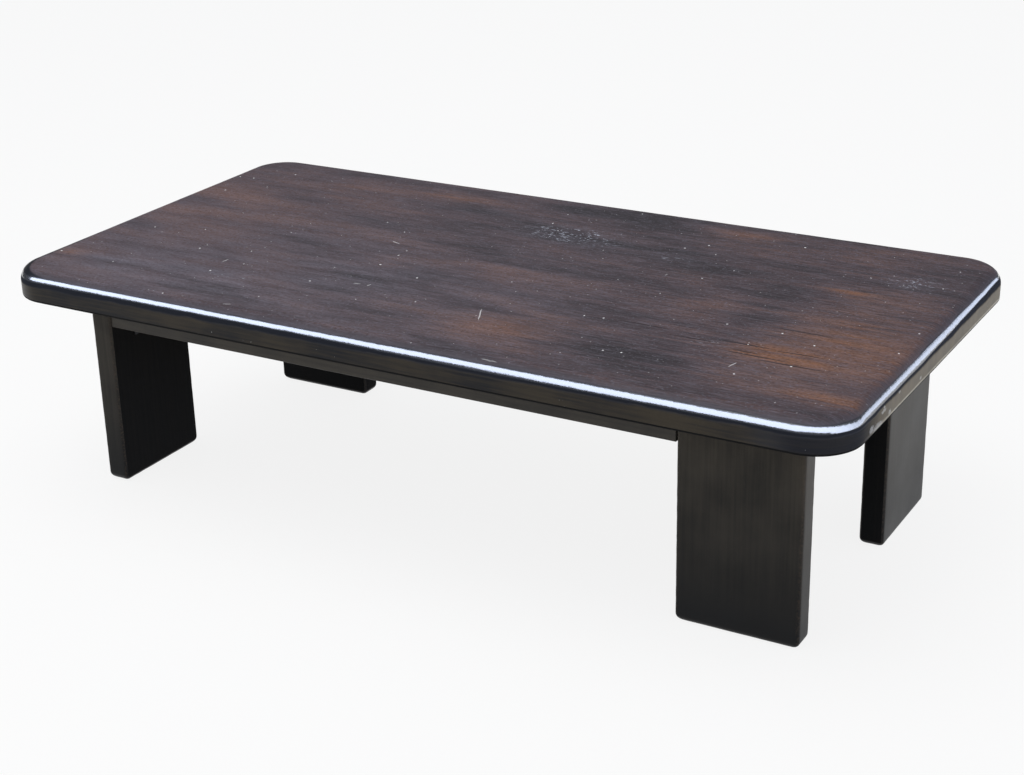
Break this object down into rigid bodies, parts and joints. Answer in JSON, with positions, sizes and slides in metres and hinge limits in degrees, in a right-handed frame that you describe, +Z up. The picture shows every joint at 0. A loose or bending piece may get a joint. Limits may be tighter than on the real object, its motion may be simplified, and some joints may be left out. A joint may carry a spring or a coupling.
{
  "type": "folding low table",
  "caption": "Low rectangular table with a thick round-edged top on wide plank legs set in a pinwheel, which fold flat under the top and lock with sliding bolts.",
  "frame": {"origin": "on the floor under the middle of the top", "axes": "+X along the length, +Y from the front long side to the back, +Z up"},
  "size_m": [1.2, 0.62, 0.332],
  "materials": {
    "face_veneer": "dark brown stained oak veneer, worn thin lacquer",
    "backing_veneer": "black stained veneer, matt",
    "core_board": "bare softwood core board",
    "rim_lacquer": "black gloss lacquer on solid wood",
    "frame_lacquer": "black satin lacquer on solid wood",
    "leg_lacquer": "black satin lacquer on solid wood",
    "frame_wood": "dark stained softwood, unpolished",
    "hinge_steel": "black baked enamel on steel",
    "pin_steel": "plain turned steel",
    "screw_steel": "zinc plated steel",
    "knob_lacquer": "turned wood, black lacquer"
  },
  "bodies": {
    "top_and_frame": {"apron_back": "frame_lacquer", "apron_front": "frame_lacquer", "apron_left": "frame_lacquer", "apron_right": "frame_lacquer", "apron_screws": "screw_steel", "backing_veneer": "backing_veneer", "batten_left": "frame_wood", "batten_middle": "frame_wood", "batten_right": "frame_wood", "batten_screws": "screw_steel", "block_leaves_back_left": "hinge_steel", "block_leaves_back_right": "hinge_steel", "block_leaves_front_left": "hinge_steel", "block_leaves_front_right": "hinge_steel", "block_screws": "screw_steel", "bolt_guide_back_left": "hinge_steel", "bolt_guide_back_right": "hinge_steel", "bolt_guide_front_left": "hinge_steel", "bolt_guide_front_right": "hinge_steel", "face_veneer": "face_veneer", "guide_screws": "screw_steel", "hinge_block_back_left": "frame_wood", "hinge_block_back_right": "frame_wood", "hinge_block_front_left": "frame_wood", "hinge_block_front_right": "frame_wood", "hinge_pins_back_left": "pin_steel", "hinge_pins_back_right": "pin_steel", "hinge_pins_front_left": "pin_steel", "hinge_pins_front_right": "pin_steel", "hinge_screws": "screw_steel", "lipping_back": "rim_lacquer", "lipping_front": "rim_lacquer", "lipping_left": "rim_lacquer", "lipping_right": "rim_lacquer", "top_core": "core_board"},
    "leg_front_right": {"leg_front_right": "leg_lacquer", "leg_leaves_front_right": "hinge_steel", "leg_screws_front_right": "screw_steel", "strike_plate_front_right": "hinge_steel"},
    "bolt_front_right": {"bolt_knob_front_right": "knob_lacquer", "bolt_rod_front_right": "pin_steel"},
    "leg_back_right": {"leg_back_right": "leg_lacquer", "leg_leaves_back_right": "hinge_steel", "leg_screws_back_right": "screw_steel", "strike_plate_back_right": "hinge_steel"},
    "bolt_back_right": {"bolt_knob_back_right": "knob_lacquer", "bolt_rod_back_right": "pin_steel"},
    "leg_back_left": {"leg_back_left": "leg_lacquer", "leg_leaves_back_left": "hinge_steel", "leg_screws_back_left": "screw_steel", "strike_plate_back_left": "hinge_steel"},
    "bolt_back_left": {"bolt_knob_back_left": "knob_lacquer", "bolt_rod_back_left": "pin_steel"},
    "leg_front_left": {"leg_front_left": "leg_lacquer", "leg_leaves_front_left": "hinge_steel", "leg_screws_front_left": "screw_steel", "strike_plate_front_left": "hinge_steel"},
    "bolt_front_left": {"bolt_knob_front_left": "knob_lacquer", "bolt_rod_front_left": "pin_steel"}
  },
  "joints": [
    {"name": "fold_front_right", "type": "hinge", "parent": "top_and_frame", "child": "leg_front_right", "pos_m": [0.4335, -0.1895, 0.2315], "axis": [1, 0, 0], "range_deg": [0, 90]},
    {"name": "fold_back_right", "type": "hinge", "parent": "top_and_frame", "child": "leg_back_right", "pos_m": [0.4885, 0.1345, 0.2315], "axis": [0, 1, 0], "range_deg": [0, 90]},
    {"name": "fold_back_left", "type": "hinge", "parent": "top_and_frame", "child": "leg_back_left", "pos_m": [-0.4335, 0.1895, 0.2315], "axis": [-1, 0, 0], "range_deg": [0, 90]},
    {"name": "fold_front_left", "type": "hinge", "parent": "top_and_frame", "child": "leg_front_left", "pos_m": [-0.4885, -0.1345, 0.2315], "axis": [0, -1, 0], "range_deg": [0, 90]},
    {"name": "lock_front_right", "type": "slide", "parent": "top_and_frame", "child": "bolt_front_right", "axis": [0, -1, 0], "range_m": [0, 0.012]},
    {"name": "lock_back_right", "type": "slide", "parent": "top_and_frame", "child": "bolt_back_right", "axis": [1, 0, 0], "range_m": [0, 0.012]},
    {"name": "lock_back_left", "type": "slide", "parent": "top_and_frame", "child": "bolt_back_left", "axis": [0, 1, 0], "range_m": [0, 0.012]},
    {"name": "lock_front_left", "type": "slide", "parent": "top_and_frame", "child": "bolt_front_left", "axis": [-1, 0, 0], "range_m": [0, 0.012]}
  ]
}
